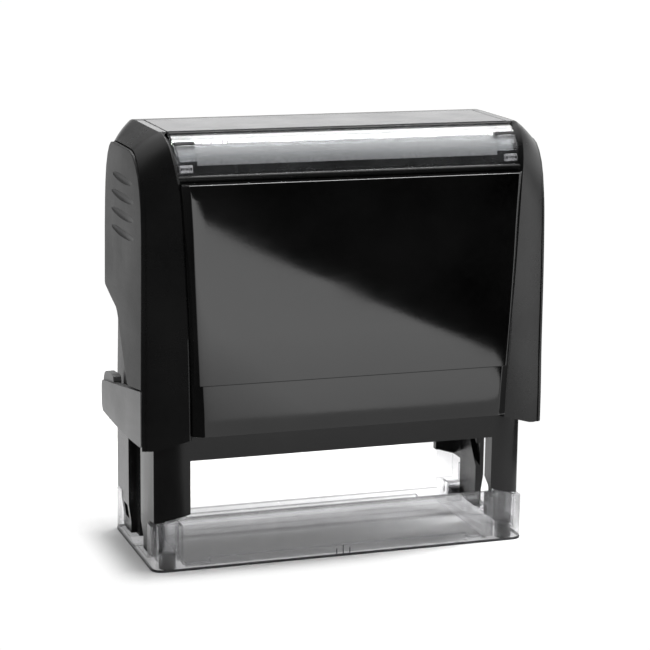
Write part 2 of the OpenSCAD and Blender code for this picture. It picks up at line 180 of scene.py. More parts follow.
def clear_plastic(name, tint, rough, haze, straight, haze_colour=(0.6, 0.61, 0.63), edge=1.0):
    """Glass for what the camera sees, plain tinted transparency for shadows.

    straight is the share of light let through unbent, edge the darkening of a wall seen
    edge on and haze the share of diffuse reflection.
    """
    ior = 1.49
    g = material_graph(name)
    colour = g.mix_rgb(g.remap(g.noise(scale=60), 0, 1), times(tint, 0.97), tint)
    roughness = g.remap(g.noise(scale=140), max(0, rough - 0.02), rough + 0.03)
    normal = g.bump(g.noise(scale=55, detail=1, rough=0.4), strength=0.12, distance=0.0004)
    normal = g.bump(g.noise(scale=1500, detail=2), strength=0.03, distance=0.00005,
                    normal=normal)
    glass = g.node("ShaderNodeBsdfGlass", IOR=ior, Color=colour, Roughness=roughness,
                   Normal=normal)
    shadow = g.node("ShaderNodeBsdfTransparent", Color=tint)

    weight = g.node("ShaderNodeLayerWeight", Blend=0.35)
    facing = g.remap(weight.outputs["Facing"], 0, 1, from_min=0.35, from_max=1.0)
    through = g.node("ShaderNodeBsdfTransparent",
                     Color=g.mix_rgb(facing, tint, times(tint, edge)))
    gloss = g.node("ShaderNodeBsdfGlossy", Roughness=rough + 0.02)
    fresnel = g.node("ShaderNodeFresnel", IOR=ior)
    # no second reflection on the way out of the wall
    geometry = g.node("ShaderNodeNewGeometry")
    front = g.math("SUBTRACT", 1.0, geometry.outputs["Backfacing"])
    reflection = g.math("MULTIPLY", fresnel.outputs[0], front)
    thin = g.mix_shader(reflection, through.outputs[0], gloss.outputs[0])

    body = g.mix_shader(straight, glass.outputs[0], thin)
    diffuse = g.node("ShaderNodeBsdfDiffuse", Color=haze_colour)
    haze_share = g.remap(g.noise(scale=220, detail=4), haze * 0.5, haze * 1.5)
    hazy = g.mix_shader(haze_share, body, diffuse.outputs[0])
    rays = g.node("ShaderNodeLightPath").outputs
    plain = g.math("MAXIMUM", rays["Is Shadow Ray"], rays["Is Diffuse Ray"])
    material = g.finish(g.mix_shader(plain, hazy, shadow.outputs[0]))
    material.diffuse_color = (*tint, 0.35)
    return material


def metal(name, colour, rough):
    """Drawn wire, with noise stretched along z."""
    g = material_graph(name)
    base = g.mix_rgb(g.remap(g.noise(scale=500), 0, 1), times(colour, 0.8), colour)
    roughness = g.remap(g.noise(scale=1800, rough=0.6, stretch=(1, 1, 8)), rough, rough + 0.18)
    scratches = g.noise(scale=2400, detail=2, rough=0.6, stretch=(1, 1, 10))
    shader = g.node("ShaderNodeBsdfPrincipled", Metallic=1, Base_Color=base,
                    Roughness=roughness,
                    Normal=g.bump(scratches, strength=0.2, distance=0.00004))
    return g.finish(shader.outputs[0])


def soft(name, colour, scale, rough, depth, strength, sheen=0.0):
    """Felt, rubber, foam or card: one noise drives colour, roughness and relief."""
    g = material_graph(name)
    texture = g.noise(scale, detail=5, rough=0.7)
    lighter = tuple(min(1, c * 1.2) for c in colour)
    shader = g.node(
        "ShaderNodeBsdfPrincipled",
        Base_Color=g.mix_rgb(g.remap(texture, 0, 1), times(colour, 0.72), lighter),
        Roughness=g.remap(texture, rough - 0.08, min(1, rough + 0.06)),
        Normal=g.bump(texture, strength, depth),
        Specular_IOR_Level=0.3, Sheen_Weight=sheen)
    return g.finish(shader.outputs[0])


LOOKS = {
    "cap": plastic("cap_plastic", grey(0.0028), rough=0.27, spread=0.03, grain=0.22,
                   ripple=0.04, spec=0.30),
    "frame": plastic("frame_plastic", grey(0.0028), rough=0.22, spread=0.03, grain=0.18,
                     grain_scale=2200, ripple=0.04, spec=0.30),
    "panel": plastic("panel_gloss", grey(0.0003), rough=0.058, spread=0.012, grain=0.015,
                     grain_scale=1500, ripple=0.02, wear=0.5),
    "panel_rear": plastic("rear_panel_gloss", grey(0.0015), rough=0.09, spread=0.02,
                          grain=0.03, grain_scale=1500, ripple=0.04, wear=0.5),
    "top": plastic("top_plate_satin", grey(0.13), rough=0.22, spread=0.04, grain=0.12,
                   ripple=0.03),
    "grip": plastic("side_grip_plastic", grey(0.010), rough=0.42, spread=0.04, grain=0.45,
                    grain_scale=2300, ripple=0.03, spec=0.19),
    "button": plastic("button_plastic", grey(0.075), rough=0.38, spread=0.04, grain=0.25,
                      grain_scale=2300, ripple=0.03),
    "bridge": plastic("bridge_plastic", grey(0.02), rough=0.38),
    "die": plastic("die_carrier_plastic", grey(0.03), rough=0.4),
    "tray": plastic("pad_tray_plastic", grey(0.02), rough=0.36),
    "window_edge": clear_plastic("window_clear_edge", (0.97, 0.97, 0.975), rough=0.12,
                                 haze=0.5, straight=0.6, haze_colour=(0.32, 0.32, 0.33)),
    "foot": clear_plastic("foot_clear", (0.955, 0.955, 0.96), rough=0.03, haze=0.05,
                          straight=0.75, haze_colour=(0.3, 0.3, 0.31), edge=0.42),
    # dark clear plastic for the ring round the foot's bottom: partly the thick flange seen edge
    # on, partly painted contact shadow
    "foot_edge_painted_shade": clear_plastic("foot_clear_edge_painted_shade", (0.2, 0.2, 0.205), rough=0.05, haze=0.1,
                               straight=0.85, haze_colour=(0.1, 0.1, 0.11)),
    "window": clear_plastic("window_clear", (0.96, 0.965, 0.97), rough=0.02, haze=0.012,
                            straight=0.8),
    "spring": metal("spring_wire", (0.62, 0.61, 0.6), rough=0.2),
    "felt": soft("ink_felt", (0.012, 0.012, 0.04), scale=2600, rough=0.95, depth=0.0006,
                 strength=1.0, sheen=0.3),
    "rubber": soft("pad_rubber", (0.008, 0.008, 0.008), scale=1800, rough=0.75,
                   depth=0.00012, strength=0.5),
    "die_rubber": soft("die_rubber", (0.36, 0.07, 0.05), scale=1500, rough=0.62,
                       depth=0.0001, strength=0.4),
    "foam": soft("cushion_foam", (0.72, 0.71, 0.66), scale=2400, rough=0.92, depth=0.0004,
                 strength=0.9),
    "card": soft("index_card_paper", (0.15, 0.151, 0.153), scale=1600, rough=0.7,
                 depth=0.00006, strength=0.4),
}


# ------------------------------------------------------------------ mesh tools


def link(obj):
    bpy.context.scene.collection.objects.link(obj)
    return obj


def remove(obj):
    mesh = obj.data
    bpy.data.objects.remove(obj)
    bpy.data.meshes.remove(mesh)


def mesh_object(name, points, faces):
    mesh = bpy.data.meshes.new(name)
    mesh.from_pydata([tuple(c * MM for c in point) for point in points], [], faces)
    mesh.update()
    return link(bpy.data.objects.new(name, mesh))


def tidy(piece, dissolve=True, merge=2e-6, angle=0.6):
    """Weld close points, drop slivers, join flat faces (angle in degrees), fix normals."""
    bm = bmesh.new()
    bm.from_mesh(piece.data)
    bmesh.ops.remove_doubles(bm, verts=bm.verts, dist=merge)
    bmesh.ops.dissolve_degenerate(bm, edges=bm.edges, dist=merge)
    if dissolve:
        bmesh.ops.dissolve_limit(bm, angle_limit=math.radians(angle), verts=bm.verts,
                                 edges=bm.edges)
    bmesh.ops.recalc_face_normals(bm, faces=bm.faces)
    bm.to_mesh(piece.data)
    bm.free()
    piece.data.update()


def solid(name, points, faces):
    piece = mesh_object(name, points, faces)
    tidy(piece, dissolve=False)
    return piece


def prism(name, axis, outline, low, high):
    """An outline in the plane across an axis, drawn out along it from low to high."""
    count = len(outline)
    place = {"x": lambda a, b, h: (h, a, b),
             "y": lambda a, b, h: (a, h, b),
             "z": lambda a, b, h: (a, b, h)}[axis]
    points = [place(a, b, height) for height in (low, high) for a, b in outline]
    faces = [list(range(count)), list(range(2 * count - 1, count - 1, -1))]
    faces += [[i, i + count, (i + 1) % count + count, (i + 1) % count] for i in range(count)]
    return solid(name, points, faces)


def box(name, low, high):
    outline = [(low[0], low[1]), (high[0], low[1]), (high[0], high[1]), (low[0], high[1])]
    return prism(name, "z", outline, low[2], high[2])


def bake(piece):
    """Apply the modifiers."""
    bpy.context.view_layer.update()
    depsgraph = bpy.context.evaluated_depsgraph_get()
    mesh = bpy.data.meshes.new_from_object(piece.evaluated_get(depsgraph), depsgraph=depsgraph)
    old = piece.data
    piece.modifiers.clear()
    piece.data = mesh
    bpy.data.meshes.remove(old)
    return piece


def boolean(piece, tool, operation="DIFFERENCE"):
    """Cut the tool out of a piece, or join it on, and remove the tool."""
    modifier = piece.modifiers.new("boolean", "BOOLEAN")
    modifier.operation = operation
    modifier.solver = "EXACT"
    modifier.object = tool
    bake(piece)
    remove(tool)
    tidy(piece)


def rounded(piece, width, segments=3, angle=28):
    """Bevel the edges sharper than an angle in degrees."""
    modifier = piece.modifiers.new("bevel", "BEVEL")
    modifier.width = width * MM
    modifier.segments = segments
    modifier.limit_method = "ANGLE"
    modifier.angle_limit = math.radians(angle)
    modifier.use_clamp_overlap = True
    modifier.miter_outer = "MITER_SHARP"
    return bake(piece)


def finish(piece, look, body, sharp=38, replaces=None, weighted=True):
    """Shade a piece, attach it to the body it rides on and hide the CAD part it replaces."""
    mesh = piece.data
    mesh.materials.clear()
    mesh.materials.append(LOOKS[look])
    for polygon in mesh.polygons:
        polygon.use_smooth = True
    mesh.set_sharp_from_angle(angle=math.radians(sharp))
    if weighted:
        modifier = piece.modifiers.new("weighted normals", "WEIGHTED_NORMAL")
        modifier.keep_sharp = True
        modifier.weight = 80
        bake(piece)
    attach(piece, body)
    if replaces:
        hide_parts(replaces)


def cad_copy(node, name):
    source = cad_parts[node]
    piece = link(bpy.data.objects.new(name, source.data.copy()))
    piece.data.transform(source.matrix_world)
    tidy(piece, merge=3e-6, angle=0.8)
    return piece


def both_sides(right):
    """Pair a right-hand piece with its mirror image."""
    name = right.name.replace("right", "left")
    mesh = right.data.copy()
    mesh.transform(Matrix.Scale(-1, 4, (1, 0, 0)))
    mesh.flip_normals()
    return (("right", right), ("left", link(bpy.data.objects.new(name, mesh))))


def side_span(side, near, far):
    """The x range between two distances from the middle, on one side."""
    return sorted((side * near, side * far))


def cut_side_boxes(piece, xs, ys, zs):
    """Cut the same box out of both sides, left first."""
    for side in (-1, 1):
        low, high = side_span(side, *xs)
        boolean(piece, box("cutter", (low, ys[0], zs[0]), (high, ys[1], zs[1])))


def cut_edges(bm, axis, positions):
    """Add edges where planes across an axis (0, 1, 2 for x, y, z) meet the mesh."""
    for position in positions:
        point, normal = [0, 0, 0], [0, 0, 0]
        point[axis] = position * MM
        normal[axis] = 1
        bmesh.ops.bisect_plane(bm, geom=bm.verts[:] + bm.edges[:] + bm.faces[:],
                               plane_co=point, plane_no=normal)


def grid_faces(rows, width):
    return [[i * width + j, i * width + j + 1, (i + 1) * width + j + 1, (i + 1) * width + j]
            for i in range(rows - 1) for j in range(width - 1)]


def grid_sheet(name, rows):
    """A sheet through rows of points, all rows the same length."""
    points = [point for row in rows for point in row]
    return mesh_object(name, points, grid_faces(len(rows), len(rows[0])))


def smooth_stations(stations, steps=5):
    """Catmull-Rom interpolation between stations, column by column."""
    result = []
    last = len(stations) - 1
    for i in range(last):
        around = [stations[max(i - 1, 0)], stations[i], stations[i + 1],
                  stations[min(i + 2, last)]]
        for k in range(steps):
            u = k / steps
            result.append(tuple(
                0.5 * (2 * b + (c - a) * u + (2 * a - 5 * b + 4 * c - d) * u * u
                       + (-a + 3 * b - 3 * c + d) * u ** 3)
                for a, b, c, d in zip(*around)))
    result.append(tuple(stations[-1]))
    return result


# ------------------------------------------------------------------ cap shell

# One side of the cap, from the lower front over the top to the lower rear.
# Columns: outer edge x, y, z beside the side grip; inner edge x, y, z; bulge; rear flag.
STATIONS = [
    (48.0, -19.75, 29.1, 37.7, -22.7, 31.5, 0.22, 0),
    (48.0, -19.75, 36.0, 37.8, -22.8, 36.0, 0.22, 0),
    (47.85, -19.7, 46.0, 38.1, -23.2, 46.0, 0.22, 0),
    (47.8, -19.65, 56.0, 38.45, -23.45, 56.0, 0.22, 0),
    (47.75, -19.6, 66.0, 39.0, -23.6, 66.0, 0.22, 0),
    (47.65, -19.4, 76.0, 39.5, -23.5, 76.0, 0.22, 0),
    (47.6, -18.95, 82.0, 39.85, -23.35, 82.5, 0.24, 0),
    (47.5, -17.9, 87.0, 40.25, -22.9, 87.6, 0.26, 0),
    (47.45, -16.3, 90.8, 40.8, -21.95, 91.6, 0.28, 0),
    (47.4, -14.2, 93.4, 41.2, -20.3, 95.0, 0.3, 0),
    (47.4, -11.9, 94.75, 41.6, -17.9, 97.6, 0.3, 0),
    (47.4, -9.6, 95.1, 42.0, -15.2, 98.95, 0.28, 0),
    (47.4, -7.0, 95.15, 42.2, -11.6, 99.15, 0.25, 0),
    (47.4, -2.5, 95.15, 42.2, -3.0, 99.15, 0.25, 0),
    (47.4, 2.5, 95.1, 42.2, 3.5, 99.15, 0.25, 0),
    (47.4, 5.4, 95.0, 42.2, 8.9, 99.1, 0.28, 1),
    (47.42, 6.9, 94.5, 42.2, 11.6, 98.85, 0.3, 1),
    (47.48, 8.8, 93.0, 42.2, 14.4, 97.9, 0.35, 1),
    (47.6, 10.8, 90.5, 42.2, 17.3, 95.3, 0.5, 1),
    (47.75, 12.2, 86.8, 42.2, 19.4, 91.4, 0.8, 1),
    (47.9, 12.95, 81.5, 42.2, 20.5, 86.0, 1.2, 1),
    (48.0, 13.1, 73.0, 42.2, 20.6, 76.0, 1.3, 1),
    (48.1, 13.2, 60.3, 42.2, 20.6, 60.0, 1.3, 1),
]
# Places across the band, from the outer edge (0) to the inner edge (1)
BAND_STEPS = [0, 0.03, 0.1, 0.2, 0.32, 0.45, 0.58, 0.7, 0.82, 0.92, 0.975, 1.0]
# Turned-in outer edge: (distance inwards along x, depth below the surface)
LOW_FLANGE = [(0.3, 0.42), (0.28, 0.38), (0.26, 0.32), (0.1, 0.08)]
HIGH_FLANGE = [(0.75, 4.0), (0.6, 1.2), (0.5, 0.5), (0.12, 0.08)]
LOW_FLANGE_TOP = 44.5
REAR_XS = (-42.2, -30, -15, 0, 15, 30, 42.2)
CAP_BOTTOM = STATIONS[0][2]
BOTTOM_RISE = 2.4        # rise of the lower front corner from its outer to its inner edge
RISE_START = 0.27        # place across the band where that rise starts
SHELL_THICKNESS = 0.9


def cap_band():
    """Rows of points across the right side band, and the (y, z) line of its rear inner edge."""
    stations = smooth_stations(STATIONS)
    rows, rear_edge = [], []
    x_axis = Vector((1, 0, 0))
    for i, station in enumerate(stations):
        outer, inner = Vector(station[0:3]), Vector(station[3:6])
        bulge, rear = station[6], station[7] > 0.5
        before, after = stations[max(i - 1, 0)], stations[min(i + 1, len(stations) - 1)]
        along = (Vector(after[0:3]) - Vector(before[0:3])
                 + Vector(after[3:6]) - Vector(before[3:6]))
        normal = (inner - outer).cross(along).normalized()
        if abs(outer.y) < 10:
            outwards = Vector((0.3, outer.y, outer.z - 60))
        else:
            outwards = Vector((0.4, outer.y, 0))
        if normal.dot(outwards) < 0:
            normal = -normal
        edge_normal = Vector((0, normal.y, normal.z)).normalized()

        flange = LOW_FLANGE if outer_is_low(station) and not rear else HIGH_FLANGE
        points = [outer - x_axis * inset - edge_normal * depth for inset, depth in flange]
        for u in BAND_STEPS:
            point = outer.lerp(inner, u) + normal * (bulge * 4 * u * (1 - u))
            if i == 0:
                rise = max(0.0, (u - RISE_START) / (1 - RISE_START))
                point.z = CAP_BOTTOM + BOTTOM_RISE * rise
            points.append(point)
        if rear:
            # the rear sheet joins here; the repeated points keep the rows equally long
            points += [inner] * 3
            rear_edge.append((inner.y, inner.z))
        else:
            lip_depth = 2.6 if inner.z < 97 else 1.6
            points += [inner - x_axis * inset - normal * depth
                       for inset, depth in ((0.16, 0.1), (0.3, 0.45), (0.35, lip_depth))]
        rows.append([tuple(point) for point in points])
    return rows, rear_edge


def outer_is_low(station):
    return station[2] < LOW_FLANGE_TOP


def make_cap_shell():
    rows, rear_edge = cap_band()
    shell = grid_sheet("cap_shell_skin", [[(-x, y, z) for x, y, z in row] for row in rows])
    right = grid_sheet("cap_skin_right", rows)
    rear = grid_sheet("cap_skin_rear", [[(x, y, z) for x in REAR_XS] for y, z in rear_edge])
    bm = bmesh.new()
    for sheet in (shell, right, rear):
        bm.from_mesh(sheet.data)
    bmesh.ops.remove_doubles(bm, verts=bm.verts, dist=2e-5)
    bmesh.ops.dissolve_degenerate(bm, edges=bm.edges, dist=1e-6)
    bmesh.ops.recalc_face_normals(bm, faces=bm.faces)
    # the sheet is open, so make sure its normals point outwards
    highest = max(bm.faces, key=lambda face: face.calc_center_median().z)
    if highest.normal.z < 0:
        bmesh.ops.reverse_faces(bm, faces=bm.faces)
    bm.to_mesh(shell.data)
    bm.free()
    remove(right)
    remove(rear)
    modifier = shell.modifiers.new("thickness", "SOLIDIFY")
    modifier.thickness = SHELL_THICKNESS * MM
    modifier.offset = -1
    modifier.use_even_offset = False
    bake(shell)
    tidy(shell, dissolve=False)
    finish(shell, "cap", "cap", sharp=42, replaces="cap_shell",
           weighted=False)


# (y, z) outline, following the notch in the lower edge
SIDE_WALL = [
    (-18.6, 43.3), (-9.0, 41.7), (1.2, 57.1), (14.0, 60.6), (14.0, 82.0), (12.6, 87.5),
    (9.4, 92.0), (5.5, 94.0), (-9.5, 94.0), (-12.9, 92.4), (-16.2, 88.6), (-17.8, 84.0),
    (-18.6, 78.0),
]
# (x, z) outline of the right lining, beside the front opening
WING_LINING = [
    (37.35, 32.2), (43.0, 31.2), (43.0, 91.0), (40.6, 91.0), (39.6, 84.5), (38.8, 68.8),
    (38.05, 54.0), (37.6, 40),
]


def make_side_walls():
    """The walls behind the side grips."""
    wall = rounded(prism("cap_side_wall_right", "x", SIDE_WALL, 46.2, 47.0), 0.2, 2)
    for _, piece in both_sides(wall):
        finish(piece, "cap", "cap")


def make_wing_linings():
    for side, word in SIDES:
        outline = [(side * x, z) for x, z in WING_LINING]
        lining = prism("wing_lining_" + word, "y", outline, -20.3, -18.95)
        finish(rounded(lining, 0.15, 1), "cap", "cap")


# ------------------------------------------------------------------ top plate and lintel

# (y, z) outlines
TOP_PLATE = [(-12.38, 98.96), (-8.3, 98.96), (-8.3, 98.12), (7.7, 98.12), (7.7, 99.17),
             (-12.38, 99.17)]
LINTEL = [(-22.1, 89.15), (-18.5, 89.15), (-18.5, 90.2), (-19.5, 90.6), (-21.6, 90.5),
          (-22.1, 90.1)]


def make_top_plate():
    """The plate on top of the cap and the rim round it."""
    rim = box("top_rim", (-42.15, -12.45, 97.2), (42.15, 8.6, 99.13))
    boolean(rim, box("cutter", (-40.35, -12.9, 98.1), (40.35, 8.0, 100)))
    boolean(rim, box("cutter", (-40.6, -12.9, 96.9), (40.6, -2.9, 98.6)))
    finish(rounded(rim, 0.22, 3), "top", "cap")
    plate = prism("top_plate_body", "x", TOP_PLATE, -40.05, 40.05)
    finish(rounded(plate, 0.09, 2), "top", "cap", replaces="top_plate")


def make_lintel():
    """The bar across the front, between the panel and the window."""
    finish(rounded(prism("lintel", "x", LINTEL, -41.0, 41.0), 0.2, 2), "cap", "cap")


# ------------------------------------------------------------------ quarter round

# Axis of the window, card and card bed
ROUND_Y, ROUND_Z = -12.4, 90.2


def round_part(name, radii, angles, xs, steps=4):
    """Part of the quarter round, between two angles in degrees above the horizontal."""
    def arc(radius, start, end):
        turns = [math.radians(start + (end - start) * i / steps) for i in range(steps + 1)]
        return [(ROUND_Y + radius * math.cos(turn), ROUND_Z + radius * math.sin(turn))
                for turn in turns]

    low, high = 180 - angles[0], 180 - angles[1]
    outline = arc(radii[1], low, high) + arc(radii[0], high, low)
    return prism(name, "x", outline, *xs)


def make_card_bed():
    bed = round_part("card_bed", (6.2, 7.25), (0, 88), (-41.6, 41.6), steps=22)
    finish(rounded(bed, 0.1, 1), "cap", "cap")


def make_window_lip():
    """The dark upper edge of the clear strip, which lifts with it."""
    lip = round_part("window_lip", (8.73, 8.92), (77, 83), (-40.2, 40.2), steps=8)
    finish(rounded(lip, 0.06, 1), "cap", "window")


def make_window():
    """The clear strip, with a thicker lower edge and a slot near each end."""
    xs = (-40.15, 40.15)
    strip = round_part("index_window_strip", (7.85, 8.68), (4.5, 87.4), xs, steps=34)
    boolean(strip, round_part("lower_edge", (7.6, 8.95), (0.5, 5.5), xs), "UNION")
    for side in (-1, 1):
        boolean(strip, round_part("cutter", (7.0, 9.5), (48.5, 53.5),
                                  side_span(side, 35.6, 41.0)))
    finish(rounded(strip, 0.1, 2, angle=30), "window", "window",
           sharp=34, replaces="index_window")


def make_card():
    """The index card, with a tab at each end."""
    card = round_part("index_card_sheet", (7.4, 7.68), (16.5, 85.5), (-35.2, 35.2), steps=26)
    boolean(card, round_part("tabs", (7.41, 7.67), (24, 46.5), (-39.2, 39.2), steps=10),
            "UNION")
    finish(card, "card", "cap", sharp=40, replaces="index_card")


def make_window_ends():
    """Dark catch behind the slot, thick clear end of the strip, and a clear loop under it."""
    for side, word in SIDES:
        catch = round_part("window_catch_" + word, (8.0, 8.8), (48.6, 55.6),
                           side_span(side, 35.4, 39.9))
        finish(rounded(catch, 0.12, 2), "cap", "window")
        block = round_part("window_end_block_" + word, (7.75, 9.0), (22, 47.9),
                           side_span(side, 35.5, 40.0), steps=10)
        finish(rounded(block, 0.36, 4), "window", "window")
        loop = round_part("window_loop_" + word, (8.0, 9.05), (5.5, 16.5),
                          side_span(side, 36.6, 39.6), steps=6)
        boolean(loop, round_part("cutter", (7.9, 9.6), (9.4, 12.8),
                                 side_span(side, 37.4, 38.9)))
        finish(rounded(loop, 0.2, 3), "window_edge", "window")


def make_window_seams():
    """Two narrow strips low on the card bed."""
    half_width = 0.35
    for x, word in ((-26.4, "left"), (26.6, "right")):
        seam = round_part("window_seam_" + word, (7.27, 7.36), (1, 15.5),
                          (x - half_width, x + half_width), steps=6)
        finish(seam, "grip", "cap")


# ------------------------------------------------------------------ front and rear panels

PANEL_HEIGHTS = [32.5, 32.62, 32.9, 34, 38, 42, 43.9, 44.12, 44.2, 44.42, 44.6, 46.5, 50, 54,
                 58, 62, 66, 70, 74, 78, 82, 85.5, 88.5, 88.85, 89.0]
PANEL_STEP = 44.3        # below this height the face is stepped back
PANEL_BACK, PANEL_SHOULDER = -19.3, -23.3
# How far the face rolls back at the three lowest and three highest heights
ROLL_BOTTOM, ROLL_TOP = [0.42, 0.14, 0.02], [0.0, 0.12, 0.4]
# Half widths and y of the face, as (z, value)
FACE_WIDTH_LOW = [(32.5, 35.3), (39, 35.5), (44.3, 35.8)]
FACE_WIDTH_HIGH = [(44.3, 36.55), (46.7, 36.65), (58, 37.2), (69.2, 37.7), (79.4, 38.05),
                   (88.4, 38.6)]
BASE_WIDTH = [(32.5, 37.35), (38.7, 37.5), (54, 38.0), (68.8, 38.75), (84.5, 39.55),
              (88.4, 39.85)]
FACE_Y_LOW = [(32.5, -24.95), (38, -25.05), (44.25, -25.1)]
FACE_Y_HIGH = [(44.3, -25.32), (50, -25.42), (58, -25.52), (69, -25.58), (79, -25.52),
               (88.4, -25.4)]


def interpolate(table, z):
    for (z0, value0), (z1, value1) in zip(table, table[1:]):
        if z <= z1:
            return value0 + (value1 - value0) * max(0, (z - z0) / (z1 - z0))
    return table[-1][1]


def make_front_panel():
    """Glossy panel: a proud, slightly barrelled face with bevelled sides and a lower step."""
    rolls = ROLL_BOTTOM + [0.0] * (len(PANEL_HEIGHTS) - 6) + ROLL_TOP
    points = []
    for z, roll in zip(PANEL_HEIGHTS, rolls):
        low = z < PANEL_STEP
        face = interpolate(FACE_WIDTH_LOW if low else FACE_WIDTH_HIGH, z)
        base = interpolate(BASE_WIDTH, z)
        y = interpolate(FACE_Y_LOW if low else FACE_Y_HIGH, z) + roll
        half = [
            # side and bevel
            (base, PANEL_BACK), (base, PANEL_SHOULDER), (base - 0.1, PANEL_SHOULDER - 0.35),
            (face + 0.42, y + 0.52), (face + 0.16, y + 0.2), (face - 0.12, y + 0.09),
            (face - 0.5, y + 0.06),
            # barrelled face
            (face - 1.4, y + 0.03), (face - 3.2, y + 0.008), (face * 0.75, y - 0.004),
            (face * 0.5, y - 0.008), (face * 0.25, y - 0.01),
        ]
        row = [(-x, depth) for x, depth in half] + [(0, y - 0.01)] + half[::-1]
        points += [(x, depth, z) for x, depth in row]
    width, count = len(row), len(PANEL_HEIGHTS)
    faces = grid_faces(count, width)
    # bottom, top and back
    faces.append(list(range(width)))
    faces.append(list(range((count - 1) * width, count * width))[::-1])
    for start in range(0, (count - 1) * width, width):
        faces.append([start, start + width, start + 2 * width - 1, start + width - 1])
    finish(solid("front_panel_face", points, faces), "panel", "cap",
           sharp=34, replaces="front_panel")


def make_rear_panel():
    panel = rounded(cad_copy("rear_panel", "rear_panel_inlay"), 0.3, 3)
    finish(panel, "panel_rear", "cap", sharp=34, replaces="rear_panel")


# ------------------------------------------------------------------ side grips, lock buttons

SIDE_INNER, SIDE_X = 47.0, 48.95     # inner face of the buttons, flat outer face of both
STRIP_YS = [-17, -14.5, -12, -9, -6, -3, 0, 3, 6, 9, 11.5]
# (y, z) outlines
SIDE_GRIP = [
    (-19.3, 43.1), (-19.0, 42.75), (-9.4, 41.75), (-8.8, 42.1), (-8.0, 43.3), (-5.2, 48.0),
    (-1.0, 55.0), (0.2, 56.6), (1.4, 57.5), (12.9, 60.5), (13.4, 61.2), (13.4, 74.0),
    (13.1, 80.8), (12.6, 84.9), (11.7, 88.6), (10.1, 91.7), (8.4, 93.6), (6.7, 94.6),
    (4.9, 94.85), (-9.4, 94.85), (-11.2, 94.6), (-13.0, 93.9), (-14.9, 92.3), (-16.6, 90.0),
    (-17.8, 87.0), (-18.7, 83.0), (-19.15, 78.0), (-19.3, 70.0),
]
LOCK_BUTTON = [
    (-19.2, 30.1), (-18.8, 29.75), (15.6, 29.75), (16.6, 30.6), (16.9, 32.0), (16.9, 35.6),
    (16.5, 36.6), (15.6, 37.2), (-8.9, 41.15), (-18.9, 42.5), (-19.2, 42.2),
]
LOCK_SHELF = [
    (6.4, 33), (16.2, 33), (16.6, 35.0), (16.4, 37.6), (15.4, 39.0), (13.8, 39.7),
    (8.0, 40.2), (6.8, 39.8), (6.4, 39),
]
# Grip grooves, cut by flattened spheres, from the top down: (middle y, half length)
GROOVE_Y = -5.2
GROOVES = [(GROOVE_Y + 0.6, 9.2)] + [(GROOVE_Y, 11.2)] * 3
GROOVE_TOP, GROOVE_PITCH = 87.8, 4.05
GROOVE_DEPTH, GROOVE_HALF_HEIGHT = 0.75, 0.95
GROOVE_OFFSET = 0.12     # sphere centre outside the side face


def side_face(y, z):
    """x of the side: gently bowed from front to rear, with a little draft."""
    bow = 0.75 if y < -2 else 0.32
    return 48.85 - bow * ((y + 2) / 17.3) ** 2 - 0.009 * (z - 35)


def bow_side(piece, from_x, strip_ys, proud=0.0, level=None):
    """Cut the side into strips and bend what lies beyond from_x to the side face.

    With a level, the side face is taken at that height throughout.
    """
    bm = bmesh.new()
    bm.from_mesh(piece.data)
    cut_edges(bm, 1, strip_ys)
    bm.to_mesh(piece.data)
    bm.free()
    for vertex in piece.data.vertices:
        x, y, z = (c / MM for c in vertex.co)
        if x > from_x:
            face = side_face(y, z if level is None else level)
            vertex.co.x = (x - SIDE_X + face + proud) * MM
    piece.data.update()


def groove_cutter(y, z, half_length):
    mesh = bpy.data.meshes.new("groove")
    bm = bmesh.new()
    bmesh.ops.create_uvsphere(bm, u_segments=40, v_segments=24, radius=1.0)
    bm.to_mesh(mesh)
    bm.free()
    centre = Vector((side_face(GROOVE_Y, z) + GROOVE_OFFSET, y, z)) * MM
    radii = (GROOVE_DEPTH * MM, half_length * MM, GROOVE_HALF_HEIGHT * MM, 1)
    mesh.transform(Matrix.Translation(centre) @ Matrix.Diagonal(radii))
    return link(bpy.data.objects.new("groove", mesh))


def make_side_grips():
    grip = prism("side_grip_right_cover", "x", SIDE_GRIP, 47.1, SIDE_X)
    rounded(grip, 0.3, 3, angle=25)
    bow_side(grip, 48.0, STRIP_YS)
    for i, (y, half_length) in enumerate(GROOVES):
        boolean(grip, groove_cutter(y, GROOVE_TOP - GROOVE_PITCH * i, half_length))
    for word, piece in both_sides(grip):
        finish(piece, "grip", "cap", sharp=30,
               replaces="side_grip_" + word)


def make_lock_buttons():
    """Plain end pieces below the grips, with a rounded shelf at the rear."""
    button = prism("lock_button_right_cover", "x", LOCK_BUTTON, SIDE_INNER, SIDE_X)
    boolean(button, prism("shelf", "x", LOCK_SHELF, 46.2, 48.1), "UNION")
    rounded(button, 0.38, 3, angle=25)
    bow_side(button, 48.3, STRIP_YS + [14], proud=0.08, level=40)
    for word, piece in both_sides(button):
        finish(piece, "button", "lock_" + word, sharp=34,
               replaces="lock_button_" + word)


# ------------------------------------------------------------------ frame, foot, inside

# The frame's front swings back beyond CORNER_X; its lower sides spread beyond SPREAD_X
CORNER_X, CORNER_Y, CORNER_DEPTH, CORNER_SLOPE = 37.6, -15.0, 3.4, 0.30
SPREAD_X, SPREAD = 44.0, 0.55
SPREAD_YS = (-17, -10)               # the spread grows between these, front to rear
SPREAD_ZS = (5, 9)                   # and between these heights
SPREAD_TOP = 33

